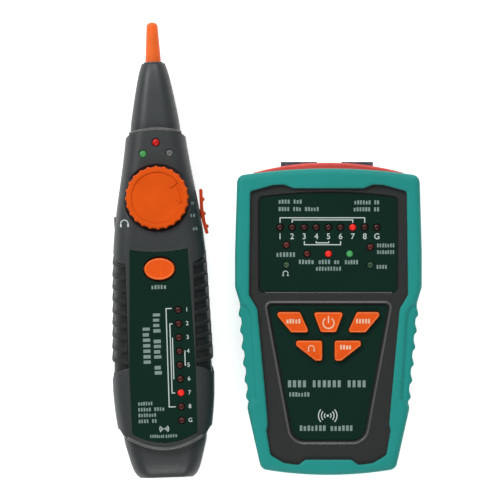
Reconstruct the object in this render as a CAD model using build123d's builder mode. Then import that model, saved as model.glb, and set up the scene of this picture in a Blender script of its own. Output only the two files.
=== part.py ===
from build123d import *
from math import radians, sin
import os

# A network tone probe kit: a tone transmitter in a rubber boot, and a hand-held receiver probe beside it.
# Both lie on their backs on a table. Millimetres, +Z up, +Y towards the connectors and the probe's tip.
# The origin is on the table, in the middle of the kit's outline. Each device is modelled in a frame of its
# own, with its middle at X = 0, and placed on the table when it is written.

os.makedirs("parts", exist_ok=True)

# ---------------------------------------------------------------- places on the table
FIT = 0.1  # gap left round a piece that drops into another
TRANSMITTER_AT = (25.9, -30.08)
PROBE_AT = (-45.28, 0.22)
PROBE_LEAN = 1.9  # degrees, anticlockwise
TRANSMITTER = Location((*TRANSMITTER_AT, 0))
PROBE = Location((*PROBE_AT, 0), (0, 0, PROBE_LEAN))

# ---------------------------------------------------------------- sizes both devices share
WALL = 2.2  # side walls of the housings
BOARD = 1.6  # circuit board thickness
BATTERY = (26.5, 46.4, 17.5)  # a 9 V block without its terminals
TERMINAL_HEIGHT = 2.1
TERMINAL_OFFSET = 6.35
TERMINAL_RADII = (2.9, 3.9)
LED_RADIUS = 1.5
LED_HOLE = 1.65
SWITCH_SIDE = 6.0
SWITCH_HEIGHT = 3.5
PLUNGER = 1.5  # radius of the stem below each key
SCREW_RADIUS = 1.5
SCREW_HEAD = 2.7
DOOR_THICKNESS = 2.0
GAP = 0.25  # round moving and fitted pieces

# ---------------------------------------------------------------- transmitter, driving sizes
TX_FRONT = 33.4  # top of the rubber above the table
TX_FACE = 31.5  # front of the plastic housing
TX_BACK = 1.5
TX_PARTING = 15.0
TX_FACE_WALL = 2.4
BOOT_SIDE = [(38.3, 61.3), (39.2, 29.0), (39.2, 14.5), (37.2, 8.0), (33.4, -34.0), (34.1, -36.0), (28.3, -61.8)]
BOOT_CROWN, BOOT_SOLE = 64.3, -64.3
CASE_SIDE = [(35.4, 60.6), (36.1, 29.0), (36.1, 14.0), (33.8, 7.0), (30.2, -35.0), (25.6, -59.3)]
CASE_CROWN, CASE_SOLE = 63.1, -61.4
WINDOW = [
    (14.8, 55.9), (18.8, 57.5), (23.3, 57.2), (32.8, 54.6), (33.3, 11.3), (29.8, 5.4), (26.2, -33.4),
    (25.4, -43.0), (26.0, -45.6), (24.2, -55.9), (18.6, -59.2), (12.6, -60.0), (9.7, -57.8),
]
GRIP_POCKET = [(45.0, 13.5), (37.3, 8.4), (34.1, 6.2), (32.6, 3.4), (30.3, -32.8), (34.4, -35.9), (45.0, -35.9)]
RIB_COUNT, RIB_TOP, RIB_PITCH = 6, 4.0, 6.95
DISPLAY_HALF, DISPLAY_TOP, DISPLAY_CROWN, DISPLAY_FOOT = 28.7, 52.0, 54.0, 12.5
KEYPAD = [(25.0, 6.9), (14.4, -49.6)]
DISPLAY_FLOOR, KEYPAD_FLOOR = 30.5, 30.1
OVERLAY = 0.5
KEY_TOP = 32.4
TX_BOARD = 21.9  # underside of the circuit board
POSTS = [(25.5, 49.5), (20.6, -33.0)]
WIRE_PITCH, WIRE_ROW = 5.08, 39.6
STATUS_RED = [(-17.6, 32.2), (-8.9, 28.5), (0.0, 28.5), (17.6, 31.3)]
STATUS_GREEN = [(-17.6, 23.8), (8.9, 28.5), (17.6, 23.8)]
KEYS = {
    "scan_key": [(-21.5, 4.1), (-11.9, 4.1), (-8.0, -4.5), (-15.6, -4.5), (-21.3, 2.3)],
    "power_key": [(-6.4, 4.0), (6.4, 4.0), (3.2, -4.4), (-3.2, -4.4)],
    "test_key": [(21.5, 4.1), (21.3, 2.3), (15.6, -4.5), (8.0, -4.5), (11.9, 4.1)],
    "ohm_key": [(-13.6, -7.9), (-2.6, -7.9), (-2.6, -16.4), (-5.4, -16.4), (-13.6, -10.0)],
    "polarity_key": [(13.6, -7.9), (13.6, -10.0), (5.4, -16.4), (2.6, -16.4), (2.6, -7.9)],
}
KEY_CENTRES = {
    "scan_key": (-14.6, 0.2), "power_key": (0.0, 0.2), "test_key": (14.6, 0.2),
    "ohm_key": (-7.0, -11.4), "polarity_key": (7.0, -11.4),
}
JACK_X, JACK_FRONT, JACK_DEPTH, JACK_HEIGHT = 12.3, 67.2, 16.5, 13.4
JACK_LOW = TX_BOARD - JACK_HEIGHT
PANEL_HALF, PANEL_LOW, PANEL_HIGH = 31.9, 6.2, 27.6
TX_BATTERY_Y = -27.7
TX_DOOR_Y = -26.5
DOOR_HALF, DOOR_LENGTH = 14.4, 53.0

# ---------------------------------------------------------------- probe, driving sizes
# Sections: place along the probe, half width, bottom, top, corner radius.
BODY_SECTIONS = [
    (53.0, 11.8, 4.2, 26.4, 8.0),
    (45.0, 12.9, 3.0, 27.2, 8.0),
    (24.0, 16.2, 0.6, 28.8, 8.0),
    (2.0, 19.2, -0.3, 30.0, 8.0),
    (-26.0, 20.5, -0.3, 30.0, 8.0),
    (-54.0, 21.4, -0.3, 30.0, 8.0),
    (-66.0, 20.9, -0.3, 30.0, 8.0),
    (-90.0, 18.4, 0.0, 29.6, 8.0),
]
NOSE_SECTIONS = [
    (78.6, 4.9, 10.1, 19.9, 4.8),
    (73.0, 6.6, 8.4, 21.6, 5.6),
    (64.0, 8.4, 6.8, 23.2, 6.4),
    (54.0, 10.1, 5.4, 24.6, 7.0),
    (47.4, 10.6, 5.0, 25.0, 7.0),
]
TAIL_SECTIONS = [
    (-76.0, 17.3, 2.6, 27.2, 7.5),
    (-83.0, 16.7, 2.8, 27.0, 7.5),
    (-89.0, 15.1, 3.2, 26.2, 7.0),
    (-93.6, 13.4, 4.2, 25.0, 6.5),
    (-96.1, 11.2, 6.2, 23.2, 5.5),
]
PROBE_PARTING = 14.0
PROBE_FACE = 30.0
BODY_TOP, BODY_TOP_DROP = 51.3, 2.4  # arc at the nose end
BODY_END, BODY_END_RISE = -84.2, 6.4  # arc at the tail end
BODY_END_HALF = 17.4
END_ROUND = 0.8
TAIL_FOOT, TAIL_END = -76.0, -96.1
NOSE_FOOT = 47.4
NOSE_LED_TOP = 28.4
TIP_RADII = (3.4, 2.3)
GRIP_DEPTH = 1.6
SHAFT_RADIUS = 3.0
SPEAKER_LOW = 4.2
TIP_TOP, TIP_FOOT = 96.0, 74.0
NOSE_MOUTH = 78.6
PROBE_AXIS_Z = 15.0
GRIP_TOP, GRIP_FOOT = -0.6, -53.8
GRIP_RIBS, GRIP_PITCH, GRIP_FIRST = 9, 5.05, -6.9
GRIP_INNER = 14.3  # where the grips begin, each side of the middle
GRIP_SLANT = 15.0  # degrees: the ribs climb towards the tip as they go down the side
LABEL_SIDE = [(12.1, 0.2), (13.9, -50.0), (13.7, -77.0)]
LABEL_DIP, LABEL_FOOT = -1.0, -81.0
LABEL_DEPTH = 0.5
KNOB_Y, KNOB_RADIUS, KNOB_TEETH, KNOB_LOW, KNOB_TOP = 21.7, 13.3, 24, 27.3, 32.6
KNOB_TOOTH = 0.42
BUTTON_Y, BUTTON_AXES = -8.2, (6.4, 4.6)
PROBE_BOARD = 20.8
PROBE_LED_X, PROBE_LED_FIRST, PROBE_LED_PITCH = 7.3, -25.6, 5.8
NOSE_LEDS = {"signal_led": (0.2, 45.0), "probe_power_led": (-5.3, 40.3), "work_lamp": (5.8, 40.3)}
SLIDER_Z = 15.5
SLIDER_SLOPE = 7.6  # degrees between the housing's flank and the probe's axis
SLIDER_AT = (18.0, 14.5)
SLIDER_TRAVEL = 4.0  # to each side
SLIDER_PLATE = [(17.6, 25.0), (17.7, 17.0), (18.45, 11.0), (19.75, 5.8), (21.1, 6.2), (19.85, 11.4), (19.1, 17.0),
                (19.0, 25.0)]
SLIDER_RIBS = [(19.0, 20.6), (19.3, 14.6), (20.4, 9.2)]
STEM_HALF = 2.0
JACK_Y, JACK_Z, JACK_BORE = 11.4, 16.5, 1.8
SPEAKER_Y, SPEAKER_RADIUS = 19.0, 10.0
PROBE_BATTERY_Y = -50.5
PROBE_DOOR_Y = -48.8
PROBE_POSTS = [(9.7, 33.5), (12.6, -16.5)]
BOARD_SIDE = [(8.8, 46.4), (12.6, 24.0), (15.6, 2.0), (17.0, -26.0), (17.9, -54.0), (17.0, -75.0)]


def save(piece, label, frame):
    """Put a finished piece in its device's place on the table and write it."""
    placed = frame * piece.part
    placed.label = label
    export_step(placed, f"parts/{label}.step")


def flip(points):
    """The same flank on the left side, in reverse order."""
    return [(-x, y) for x, y in reversed(points)]


def outline(side, crown, sole, corner):
    """Face symmetric about Y: two flanks joined by an arc over each end, with rounded corners."""
    left = flip(side)
    with BuildSketch(mode=Mode.PRIVATE) as face:
        with BuildLine():
            Polyline(*side)
            ThreePointArc(side[-1], (0, sole), left[0])
            Polyline(*left)
            ThreePointArc(left[-1], (0, crown), side[0])
        make_face()
        fillet(face.vertices(), corner)
    return face.sketch


def polygon(points, corner):
    """Closed face through the points with rounded corners."""
    with BuildSketch(mode=Mode.PRIVATE) as face:
        Polygon(*points, align=None)
        fillet(face.vertices(), corner)
    return face.sketch


def grown(face, amount):
    """The face offset outwards, or inwards where amount is negative."""
    with BuildSketch(mode=Mode.PRIVATE) as bigger:
        add(face)
        offset(amount=amount, kind=Kind.INTERSECTION)
    return bigger.sketch


def slab(face, low, high):
    """Extrude a face on XY from one height to another."""
    with BuildPart(mode=Mode.PRIVATE) as plate:
        with BuildSketch(Plane.XY.offset(low)):
            add(face)
        extrude(amount=high - low)
    return plate.part


def loft_form(sections, inset=0.0):
    """Loft rounded rectangles that stand across the probe's axis, each shrunk by the inset."""
    with BuildPart(mode=Mode.PRIVATE) as form:
        for y, half, low, high, corner in sections:
            across = Plane(origin=(0, y, (low + high) / 2), x_dir=(1, 0, 0), z_dir=(0, 1, 0))
            with BuildSketch(across):
                RectangleRounded(2 * (half - inset), high - low - 2 * inset, max(corner - inset, 1.0))
        loft()
    return form.part


def mirrored(points):
    return [(s * x, y) for x, y in points for s in (1, -1)]


# ================================================================ transmitter
case_face = outline(CASE_SIDE, CASE_CROWN, CASE_SOLE, 2.6)
cavity_face = grown(case_face, -WALL)
window_face = polygon(WINDOW + flip(WINDOW), 0.8)
with BuildSketch() as display:
    with BuildLine():
        Polyline((DISPLAY_HALF, DISPLAY_TOP), (DISPLAY_HALF, DISPLAY_FOOT), (-DISPLAY_HALF, DISPLAY_FOOT),
                 (-DISPLAY_HALF, DISPLAY_TOP))
        ThreePointArc((-DISPLAY_HALF, DISPLAY_TOP), (0, DISPLAY_CROWN), (DISPLAY_HALF, DISPLAY_TOP))
    make_face()
    fillet(display.vertices(), 1.8)
display_face = display.sketch
with BuildSketch() as keypad:
    Polygon(*(KEYPAD + flip(KEYPAD)), align=None)
    fillet(keypad.vertices().group_by(Axis.Y)[0], 5.5)
    fillet(keypad.vertices().group_by(Axis.Y)[-1], 1.5)
keypad_face = keypad.sketch
key_faces = {name: polygon(points, 1.0) for name, points in KEYS.items()}
wire_leds = [((k - 4) * WIRE_PITCH, WIRE_ROW) for k in range(9)]
corner_posts = mirrored(POSTS)


def flank(y):
    """Where the rubber's flank stands at the grip, between its two corners there."""
    (x0, y0), (x1, y1) = BOOT_SIDE[3:5]
    return x0 + (y0 - y) / (y0 - y1) * (x1 - x0)


def rubber_boot():
    """The boot stretched round the housing: lips front and back, open at the connectors, ribbed at the grips."""
    with BuildPart() as boot:
        with BuildSketch():
            add(outline(BOOT_SIDE, BOOT_CROWN, BOOT_SOLE, 3.4))
        extrude(amount=TX_FRONT)
        fillet(boot.edges().group_by(Axis.Z)[-1], 2.4)
        fillet(boot.edges().group_by(Axis.Z)[0], 2.0)
        for points in (GRIP_POCKET, flip(GRIP_POCKET)):
            with BuildSketch(Plane.XY.offset(TX_FRONT - 1.2)):
                add(polygon(points, 1.0))
            extrude(amount=5, mode=Mode.SUBTRACT)
        with BuildSketch(Plane.XY.offset(3.4)):
            for k in range(RIB_COUNT):
                y = RIB_TOP - k * RIB_PITCH
                x = flank(y)
                rib = [(x - 1.6, y + 3.0), (x - 0.1, y + 3.0), (x + 0.95, y - 0.7), (x + 0.7, y - 1.6),
                       (x - 0.1, y - 2.2), (x - 1.6, y - 2.2)]
                for points in (rib, flip(rib)):
                    Polygon(*points, align=None)
        extrude(amount=TX_FRONT - 3.4 - 1.9)
        add(slab(grown(case_face, 0.05), TX_BACK, TX_FACE), mode=Mode.SUBTRACT)
        add(slab(window_face, TX_FACE - 1, TX_FRONT + 1), mode=Mode.SUBTRACT)
        add(slab(grown(case_face, -6.5), -1, TX_BACK + 1), mode=Mode.SUBTRACT)
        with BuildSketch(Plane.XZ.offset(-55)):
            with Locations((0, 16.4)):
                RectangleRounded(2 * 34.3, 25.4, 2.0)
        extrude(amount=-20, mode=Mode.SUBTRACT)
    return boot


def connector_opening():
    """Cutter for the end of the housing, where the connector panel sits."""
    with BuildPart(mode=Mode.PRIVATE) as cutter:
        with BuildSketch(Plane.XZ.offset(-56)):
            with Locations((0, (PANEL_LOW + PANEL_HIGH) / 2)):
                Rectangle(2 * (PANEL_HALF + FIT), PANEL_HIGH - PANEL_LOW + 2 * FIT)
        extrude(amount=-20)
    return cutter.part


def front_cover():
    """Front shell: recesses for the two overlays, holes for lamps and keys, posts for the screws."""
    with BuildPart() as cover:
        add(slab(case_face, TX_PARTING, TX_FACE))
        fillet(cover.edges().group_by(Axis.Z)[-1], 1.0)
        add(slab(cavity_face, TX_PARTING - 1, TX_FACE - TX_FACE_WALL), mode=Mode.SUBTRACT)
        with BuildSketch(Plane.XY.offset(TX_PARTING)):
            with Locations(*corner_posts):
                Circle(3.4)
        extrude(amount=TX_FACE - TX_FACE_WALL - TX_PARTING)
        with BuildSketch(Plane.XY.offset(TX_PARTING)):
            with Locations(*corner_posts):
                Circle(SCREW_RADIUS + 0.05)
        extrude(amount=10, mode=Mode.SUBTRACT)
        with BuildSketch(Plane.XY.offset(TX_FACE)):
            add(grown(display_face, 0.9))
        extrude(amount=-(TX_FACE - DISPLAY_FLOOR), taper=40, mode=Mode.SUBTRACT)
        with BuildSketch(Plane.XY.offset(TX_FACE)):
            add(grown(keypad_face, 1.4))
        extrude(amount=-(TX_FACE - KEYPAD_FLOOR), taper=43, mode=Mode.SUBTRACT)
        with BuildSketch(Plane.XY.offset(TX_FACE)):
            with Locations(*(wire_leds + STATUS_RED + STATUS_GREEN)):
                Circle(LED_HOLE)
            for face in key_faces.values():
                add(grown(face, GAP))
        extrude(amount=-5, mode=Mode.SUBTRACT)
        add(connector_opening(), mode=Mode.SUBTRACT)
    return cover


def rear_cover():
    """Rear shell: walls round the battery, an opening for its door, and counterbored posts for the screws."""
    door_y = TX_DOOR_Y
    with BuildPart() as cover:
        add(slab(case_face, TX_BACK, TX_PARTING))
        fillet(cover.edges().group_by(Axis.Z)[0], 1.0)
        add(slab(cavity_face, TX_BACK + WALL, TX_PARTING + 1), mode=Mode.SUBTRACT)
        with BuildSketch(Plane.XY.offset(TX_BACK)):
            with Locations((0, door_y)):
                Rectangle(2 * DOOR_HALF + 3.4, DOOR_LENGTH + 3.4)
            with Locations(*corner_posts):
                Circle(4.4)
        extrude(amount=TX_PARTING - TX_BACK)
        with BuildSketch(Plane.XY.offset(TX_BACK - 1)):
            with Locations((0, door_y)):
                RectangleRounded(2 * (DOOR_HALF + GAP), DOOR_LENGTH + 2 * GAP, 0.2)
            with Locations(*corner_posts):
                Circle(SCREW_RADIUS + 0.2)
        extrude(amount=TX_PARTING, mode=Mode.SUBTRACT)
        with BuildSketch(Plane.XY.offset(TX_BACK)):
            with Locations(*corner_posts):
                Circle(SCREW_HEAD + 0.3)
        extrude(amount=4.5, mode=Mode.SUBTRACT)
        add(connector_opening(), mode=Mode.SUBTRACT)
    return cover


def connector_panel():
    """Curved end plate that frames the two sockets, with a flange behind the housing's end wall."""
    front = [(PANEL_HALF, 62.5), (0, 66.8), (-PANEL_HALF, 62.5)]
    back = [(-PANEL_HALF, 57.1), (0, 59.3), (PANEL_HALF, 57.1)]
    flange = [(33.0, 58.6), (0, 60.8), (-33.0, 58.6)]
    flange_back = [(-33.0, 57.1), (0, 59.3), (33.0, 57.1)]
    with BuildPart() as panel:
        for low, high, outer, inner in (
            (PANEL_LOW, PANEL_HIGH, front, back),
            (PANEL_LOW - 1.2, PANEL_HIGH + 1.2, flange, flange_back),
        ):
            with BuildSketch(Plane.XY.offset(low)):
                with BuildLine():
                    ThreePointArc(*outer)
                    Line(outer[-1], inner[0])
                    ThreePointArc(*inner)
                    Line(inner[-1], outer[0])
                make_face()
            extrude(amount=high - low)
            if outer is front:
                fillet(panel.faces().filter_by(GeomType.CYLINDER).sort_by(Axis.Y)[-1].edges(), 0.9)
        with BuildSketch(Plane.XZ.offset(-50)):
            with Locations((-JACK_X, JACK_LOW + JACK_HEIGHT / 2)):
                Rectangle(15.6, JACK_HEIGHT + 0.4)
            with Locations((JACK_X, JACK_LOW + JACK_HEIGHT / 2)):
                Rectangle(13.6, JACK_HEIGHT + 0.4)
        extrude(amount=-20, mode=Mode.SUBTRACT)
    return panel


def socket(x, width, mouth, contact_count):
    """A modular socket: folded metal shield, moulded insert with the plug's cavity, and a row of contacts."""
    middle = (x, JACK_FRONT - JACK_DEPTH / 2, JACK_LOW + JACK_HEIGHT / 2)
    with BuildPart() as shield:
        with Locations(middle):
            Box(width, JACK_DEPTH, JACK_HEIGHT)
            Box(width - 0.8, JACK_DEPTH, JACK_HEIGHT - 0.8, mode=Mode.SUBTRACT)
        with Locations((x, JACK_FRONT - JACK_DEPTH + 0.2, middle[2])):
            Box(width, 0.4, JACK_HEIGHT)
    ceiling = JACK_LOW + 10.4
    with BuildPart() as insert:
        with Locations((x, JACK_FRONT - JACK_DEPTH / 2 + 0.1, middle[2])):
            Box(width - 0.9, JACK_DEPTH - 0.8, JACK_HEIGHT - 0.9)
        with BuildSketch(Plane.XZ.offset(-JACK_FRONT - 1)):
            with Locations((x, ceiling - 3.4)):
                Rectangle(mouth, 6.8)
            with Locations((x, ceiling - 7.6)):
                Rectangle(6.2, 1.8)
            with Locations((x, ceiling - 9.0)):
                Rectangle(3.4, 1.4)
        extrude(amount=13.4, mode=Mode.SUBTRACT)
    with BuildPart() as contacts:
        for k in range(contact_count):
            cx = x + (k - (contact_count - 1) / 2) * 1.02
            with BuildSketch(Plane.YZ.offset(cx - 0.2)):
                Polygon((55.0, ceiling - 0.05), (56.0, ceiling - 0.05), (63.6, ceiling - 1.0), (63.6, ceiling - 1.4),
                        (55.0, ceiling - 0.4), align=None)
            extrude(amount=0.4)
    return shield, insert, contacts


def key(name):
    """A key: bevelled cap, a flange that stops below the cover, and the stem that works its switch."""
    stop = TX_FACE - TX_FACE_WALL - 0.05
    with BuildPart() as cap:
        with BuildSketch(Plane.XY.offset(stop)):
            add(key_faces[name])
        extrude(amount=KEY_TOP - stop)
        fillet(cap.edges().group_by(Axis.Z)[-1], 0.6)
        with BuildSketch(Plane.XY.offset(stop)):
            add(grown(key_faces[name], 0.8))
        extrude(amount=-0.9)
        with BuildSketch(Plane.XY.offset(stop - 0.9)):
            with Locations(KEY_CENTRES[name]):
                Circle(PLUNGER)
        extrude(amount=-(stop - 0.9 - TX_BOARD - BOARD - SWITCH_HEIGHT + 0.3))
    return cap


def switches(centres, board_top):
    """Push switches, each open at the top for its key's stem."""
    with BuildPart() as group:
        with BuildSketch(Plane.XY.offset(board_top)):
            with Locations(*centres):
                Rectangle(SWITCH_SIDE, SWITCH_SIDE)
        extrude(amount=SWITCH_HEIGHT)
        with BuildSketch(Plane.XY.offset(board_top + SWITCH_HEIGHT)):
            with Locations(*centres):
                Circle(PLUNGER + GAP)
        extrude(amount=-1.8, mode=Mode.SUBTRACT)
    return group


def leds(centres, board_top, top):
    """Round lamps: a collar on the board and a domed lens."""
    with BuildPart() as group:
        with BuildSketch(Plane.XY.offset(board_top)):
            with Locations(*centres):
                Circle(LED_RADIUS)
        extrude(amount=top - board_top)
        fillet(group.edges().group_by(Axis.Z)[-1], 1.1)
        with BuildSketch(Plane.XY.offset(board_top)):
            with Locations(*centres):
                Circle(1.9)
        extrude(amount=1.0)
    return group


def tx_circuit_board():
    with BuildPart() as board:
        with BuildSketch(Plane.XY.offset(TX_BOARD)):
            add(grown(case_face, -4.6))
            with Locations(*corner_posts):
                Circle(3.7, mode=Mode.SUBTRACT)
        extrude(amount=BOARD)
    return board


def battery(y, low):
    """A 9 V block with its two round terminals towards +Y."""
    width, length, height = BATTERY
    with BuildPart() as block:
        with Locations((0, y, low + height / 2)):
            Box(width, length, height)
        fillet(block.edges().filter_by(Axis.Y), 2.0)
        end = y + length / 2
        with BuildSketch(Plane.XZ.offset(-end)):
            for side, radius in zip((-1, 1), TERMINAL_RADII):
                with Locations((side * TERMINAL_OFFSET, low + height / 2)):
                    Circle(radius)
        extrude(amount=-TERMINAL_HEIGHT)
    return block


def battery_snap(y, low):
    """The press-on connector over the battery's terminals."""
    width, length, height = BATTERY
    end = y + length / 2
    middle = low + height / 2
    with BuildPart() as snap:
        with Locations((0, end + 0.2 + 1.9, middle)):
            Box(25.0, 3.8, 12.0)
        fillet(snap.edges().filter_by(Axis.Y), 4.0)
        with BuildSketch(Plane.XZ.offset(-end)):
            for side, radius in zip((-1, 1), TERMINAL_RADII):
                with Locations((side * TERMINAL_OFFSET, middle)):
                    Circle(radius + 0.15)
        extrude(amount=-(TERMINAL_HEIGHT + 0.1), mode=Mode.SUBTRACT)
    return snap


def battery_leads(y, low, board_low):
    """Two insulated wires from the top of the snap to the underside of the board."""
    width, length, height = BATTERY
    start = y + length / 2 + 2.1
    snap_top = low + height / 2 + 6.0
    bend = (snap_top + board_low) / 2
    with BuildPart() as leads:
        for x in (-TERMINAL_OFFSET, TERMINAL_OFFSET):
            with BuildLine(mode=Mode.PRIVATE) as route:
                FilletPolyline((x, start, snap_top), (x, start, bend), (x, start + 6, bend),
                               (x, start + 6, board_low), radius=0.9)
            with BuildSketch(Plane.XY.offset(snap_top)):
                with Locations((x, start)):
                    Circle(0.65)
            sweep(path=route.line)
    return leads


def battery_door(y, back):
    """Door hinged at its rounded upper end, with finger grooves at the other."""
    with BuildPart() as door:
        with Locations((0, y, back + DOOR_THICKNESS / 2)):
            Box(2 * DOOR_HALF, DOOR_LENGTH, DOOR_THICKNESS)
        fillet(door.edges().filter_by(Axis.Z).group_by(Axis.Y)[0], 1.5)
        fillet(door.edges().filter_by(Axis.X).group_by(Axis.Y)[-1], DOOR_THICKNESS / 2 - 0.02)
        with BuildSketch(Plane.XY.offset(back)):
            with Locations(*[(0, y - DOOR_LENGTH / 2 + 6 + 2.2 * k) for k in range(4)]):
                RectangleRounded(12, 1.0, 0.45)
        extrude(amount=0.7, mode=Mode.SUBTRACT)
    return door


def case_screws(centres, head_low, length):
    """Pan-head screws driven from the back, heads down, with a cross recess."""
    with BuildPart() as screws:
        with BuildSketch(Plane.XY.offset(head_low)):
            with Locations(*centres):
                Circle(SCREW_HEAD)
        extrude(amount=1.8)
        with BuildSketch(Plane.XY.offset(head_low + 1.8)):
            with Locations(*centres):
                Circle(SCREW_RADIUS)
        extrude(amount=length)
        with BuildSketch(Plane.XY.offset(head_low)):
            with Locations(*centres):
                Rectangle(3.2, 0.7)
                Rectangle(0.7, 3.2)
        extrude(amount=1.1, mode=Mode.SUBTRACT)
    return screws


def display_overlay():
    with BuildPart() as sheet:
        with BuildSketch(Plane.XY.offset(DISPLAY_FLOOR)):
            add(grown(display_face, -0.05))
            with Locations(*(wire_leds + STATUS_RED + STATUS_GREEN)):
                Circle(LED_HOLE, mode=Mode.SUBTRACT)
        extrude(amount=OVERLAY)
    return sheet


def keypad_overlay():
    with BuildPart() as sheet:
        with BuildSketch(Plane.XY.offset(KEYPAD_FLOOR)):
            add(grown(keypad_face, -0.05))
            for face in key_faces.values():
                add(grown(face, GAP), mode=Mode.SUBTRACT)
        extrude(amount=OVERLAY)
    return sheet


def build_transmitter():
    board_top = TX_BOARD + BOARD
    lens_top = DISPLAY_FLOOR + OVERLAY + 0.2
    battery_low = TX_BACK + DOOR_THICKNESS + 0.3
    rj45 = socket(-JACK_X, 15.2, 11.8, 8)
    rj11 = socket(JACK_X, 13.2, 9.8, 6)
    pieces = {
        "transmitter_rubber_boot": rubber_boot(),
        "transmitter_front_cover": front_cover(),
        "transmitter_rear_cover": rear_cover(),
        "transmitter_connector_panel": connector_panel(),
        "transmitter_display_overlay": display_overlay(),
        "transmitter_keypad_overlay": keypad_overlay(),
        "transmitter_circuit_board": tx_circuit_board(),
        "transmitter_key_switches": switches(KEY_CENTRES.values(), board_top),
        "transmitter_wire_leds": leds(wire_leds, board_top, lens_top),
        "transmitter_status_red_leds": leds(STATUS_RED, board_top, lens_top),
        "transmitter_status_green_leds": leds(STATUS_GREEN, board_top, lens_top),
        "rj45_socket_shield": rj45[0],
        "rj45_socket_insert": rj45[1],
        "rj45_socket_contacts": rj45[2],
        "rj11_socket_shield": rj11[0],
        "rj11_socket_insert": rj11[1],
        "rj11_socket_contacts": rj11[2],
        "transmitter_battery": battery(TX_BATTERY_Y, battery_low),
        "transmitter_battery_snap": battery_snap(TX_BATTERY_Y, battery_low),
        "transmitter_battery_leads": battery_leads(TX_BATTERY_Y, battery_low, TX_BOARD),
        "transmitter_battery_door": battery_door(TX_DOOR_Y, TX_BACK),
        "transmitter_case_screws": case_screws(corner_posts, TX_BACK + 2.6, 16.0),
    }
    pieces.update({name: key(name) for name in KEYS})
    for label, piece in pieces.items():
        save(piece, label, TRANSMITTER)


# ================================================================ probe
def body_plan():
    """Plan that trims the probe's body: a bulging arc at each end, its corners cut back."""
    shoulder, heel = BODY_TOP - BODY_TOP_DROP, BODY_END + BODY_END_RISE
    half, reach = BODY_END_HALF, 24.0
    right = [(10.7, shoulder), (12.6, shoulder - 1.6), (reach, shoulder - 2.0), (reach, heel + 6.0),
             (half + 1.6, heel + 2.6), (half, heel)]
    left = flip(right)
    with BuildSketch(mode=Mode.PRIVATE) as face:
        with BuildLine():
            Polyline(*right)
            ThreePointArc(right[-1], (0, BODY_END), left[0])
            Polyline(*left)
            ThreePointArc(left[-1], (0, BODY_TOP), right[0])
        make_face()
    return face.sketch


def body_form():
    """Outer form of the probe's body, the edges round both its ends rounded."""
    with BuildPart(mode=Mode.PRIVATE) as form:
        add(slab(body_plan(), -1, 40))
        add(loft_form(BODY_SECTIONS), mode=Mode.INTERSECT)
        fillet(form.faces().filter_by(GeomType.CYLINDER).sort_by(Axis.Y)[0].edges(), END_ROUND)
        fillet(form.faces().filter_by(GeomType.CYLINDER).sort_by(Axis.Y)[-1].edges(), END_ROUND)
    return form.part


def grip_window(margin):
    """Both grip areas, cut straight through the flanks: pointed towards the tip, slanted at the foot."""
    top, foot, high, low = GRIP_TOP - margin, GRIP_FOOT + margin, 31.0, 2.0 + margin
    points = [(top - 6.5, high), (top, 23.0), (top, 8.0), (top - 6, low), (foot + 6, low), (foot, 8.0), (foot, 23.0),
              (foot + 5, high)]
    with BuildPart(mode=Mode.PRIVATE) as cutter:
        for inner, outer in ((GRIP_INNER + margin, 30), (-GRIP_INNER - margin, -30)):
            with BuildSketch(Plane.YZ.offset(inner)):
                add(polygon(points, 1.0))
            extrude(amount=outer - inner)
    return cutter.part


def grip_recess():
    """What the two grips take away from the shells."""
    with BuildPart(mode=Mode.PRIVATE) as recess:
        add(grip_window(0.0))
        add(loft_form(BODY_SECTIONS, GRIP_DEPTH), mode=Mode.SUBTRACT)
    return recess.part


def probe_grip(side):
    """Soft insert for one flank, with ridges that climb towards the tip as they go down the side."""
    with BuildPart() as grip:
        add(loft_form(BODY_SECTIONS, -0.1))
        with BuildSketch(Plane.YZ.offset(-30)):
            for k in range(GRIP_RIBS):
                y = GRIP_FIRST - k * GRIP_PITCH
                climb = 30 * sin(radians(GRIP_SLANT))
                Polygon((y - 0.9, 31), (y + 0.5, 31), (y + 0.5 + climb, 0), (y - 0.9 + climb, 0), align=None)
        extrude(amount=60, mode=Mode.INTERSECT)
        add(loft_form(BODY_SECTIONS, 0.9))
        add(grip_window(0.1), mode=Mode.INTERSECT)
        add(loft_form(BODY_SECTIONS, GRIP_DEPTH), mode=Mode.SUBTRACT)
        split(bisect_by=Plane.YZ, keep=Keep.TOP if side > 0 else Keep.BOTTOM)
    return grip


def slider_box(u_low, u_high, v_half, z_half):
    """Block beside the housing's right flank: u points out of the flank, v runs along it."""
    with BuildPart(mode=Mode.PRIVATE) as block:
        with Locations(Location((*SLIDER_AT, SLIDER_Z), (0, 0, SLIDER_SLOPE))):
            with Locations(((u_low + u_high) / 2, 0, 0)):
                Box(u_high - u_low, 2 * v_half, 2 * z_half)
    return block.part


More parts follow.
